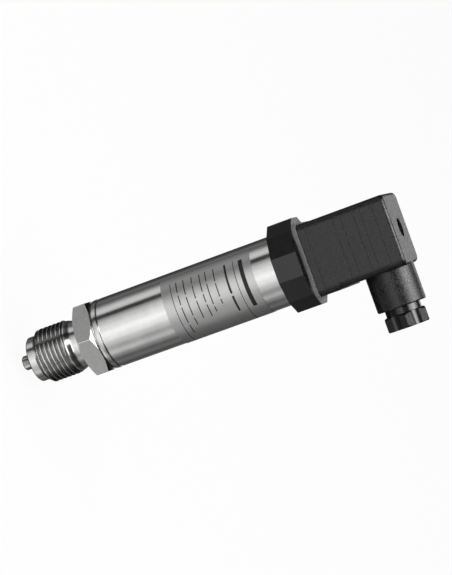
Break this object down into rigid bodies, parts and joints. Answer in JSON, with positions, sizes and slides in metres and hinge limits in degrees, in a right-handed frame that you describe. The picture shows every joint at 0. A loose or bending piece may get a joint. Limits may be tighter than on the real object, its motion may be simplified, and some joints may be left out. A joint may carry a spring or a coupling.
{
  "type": "pressure transmitter",
  "caption": "Slim screw-in pressure transmitter: steel pipe thread with hexagon, polished tube, black cap and a square angled plug with a cable gland.",
  "frame": {"origin": "on the axis, in the sealing face at the lower end of the process thread", "axes": "+Z along the axis from the thread to the plug, +X the way the cable gland points, -Y the front of the plug"},
  "size_m": [0.0519, 0.0336, 0.1546],
  "materials": {
    "turned_steel": "turned and milled stainless steel",
    "polished_steel": "finely polished stainless tube",
    "matt_foil": "matt silver foil",
    "ceramic": "sintered alumina",
    "black_rubber": "moulded rubber",
    "grey_rubber": "moulded rubber",
    "carrier_plastic": "moulded nylon",
    "board_laminate": "solder mask on glass laminate",
    "chip_resin": "moulded epoxy",
    "tantalum_resin": "moulded epoxy",
    "ribbon_film": "polyimide film",
    "wire_brown": "wire insulation",
    "wire_blue": "wire insulation",
    "wire_black": "wire insulation",
    "wire_green": "wire insulation",
    "cap_plastic": "smooth moulded polyamide",
    "plug_plastic": "spark-textured glass-filled polyamide",
    "nut_plastic": "moulded polyamide",
    "insert_plastic": "moulded polyamide",
    "brass": "turned brass",
    "tinned_brass": "tin plating",
    "zinc_steel": "zinc plating"
  },
  "bodies": {
    "transmitter": {"process_connection": "turned_steel", "cell_seal": "black_rubber", "measuring_cell": "ceramic", "cell_clamp_ring": "turned_steel", "tube_housing": "polished_steel", "nameplate": "matt_foil", "board_carrier": "carrier_plastic", "circuit_board": "board_laminate", "amplifier_chip": "chip_resin", "converter_chip": "chip_resin", "capacitors": "tantalum_resin", "protection_diodes": "chip_resin", "cell_ribbon": "ribbon_film", "lead_contact_1": "wire_brown", "lead_contact_2": "wire_blue", "lead_contact_3": "wire_black", "lead_earth": "wire_green", "connector_cap": "cap_plastic", "cap_seal": "black_rubber", "threaded_bush": "brass", "blade_contact_1": "tinned_brass", "blade_contact_2": "tinned_brass", "blade_contact_3": "tinned_brass", "blade_earth": "tinned_brass", "flat_gasket": "grey_rubber"},
    "angle_plug": {"plug_housing": "plug_plastic", "terminal_insert": "insert_plastic", "socket_contact_1": "tinned_brass", "socket_contact_2": "tinned_brass", "socket_contact_3": "tinned_brass", "socket_earth": "tinned_brass", "terminal_screws": "zinc_steel", "gland_seal": "black_rubber"},
    "screw_washer": {"screw_seal": "black_rubber"},
    "plug_fixing": {"plug_screw": "zinc_steel"},
    "gland_slider": {"gland_thrust_ring": "plug_plastic"},
    "gland": {"gland_nut": "nut_plastic"}
  },
  "joints": [
    {"name": "plug_pull", "type": "slide", "parent": "transmitter", "child": "angle_plug", "axis": [0, 0, 1], "range_m": [0, 0.012]},
    {"name": "plug_screw_rise", "type": "slide", "parent": "angle_plug", "child": "screw_washer", "axis": [0, 0, 1], "range_m": [0, 0.006]},
    {"name": "plug_screw_turn", "type": "hinge", "parent": "screw_washer", "child": "plug_fixing", "pos_m": [0, 0, 0.1456], "axis": [0, 0, 1], "range_deg": [0, 4324.32]},
    {"name": "gland_feed", "type": "slide", "parent": "angle_plug", "child": "gland_slider", "axis": [1, 0, 0], "range_m": [-0.002, 0.0047]},
    {"name": "gland_turn", "type": "hinge", "parent": "gland_slider", "child": "gland", "pos_m": [0.0216, 0, 0.1405], "axis": [1, 0, 0], "range_deg": [-510.79, 1200.35]}
  ],
  "couplings": [
    {"joint": "plug_screw_turn", "follows": "plug_screw_rise", "rad_per_m": 12566},
    {"joint": "gland_turn", "follows": "gland_feed", "rad_per_m": 4453}
  ]
}
